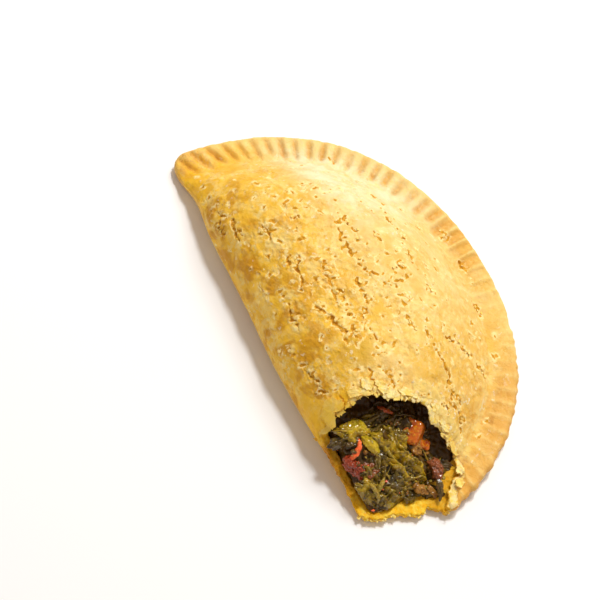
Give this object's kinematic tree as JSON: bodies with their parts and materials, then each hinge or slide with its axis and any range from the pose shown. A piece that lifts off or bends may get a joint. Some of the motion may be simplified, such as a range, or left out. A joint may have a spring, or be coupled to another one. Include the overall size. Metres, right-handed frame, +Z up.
{
  "type": "jamaican patty",
  "caption": "Half-moon baked pastry with a crimped curved rim, bitten open at one end to show its cooked vegetable filling.",
  "frame": {"origin": "bottom centre of the bounding box, on the surface that the patty lies on", "axes": "+X along the folded edge towards the bitten end, +Y from the folded edge to the crimped rim, +Z up"},
  "size_m": [0.1484, 0.0822, 0.0272],
  "materials": {
    "crust": "golden baked shortcrust pastry, flaky and finely cracked, browned on the crimps",
    "filling": "moist cooked leaves, carrot, pepper and onion"
  },
  "bodies": {
    "root": {"crust": "crust", "filling": "filling"}
  },
  "joints": []
}
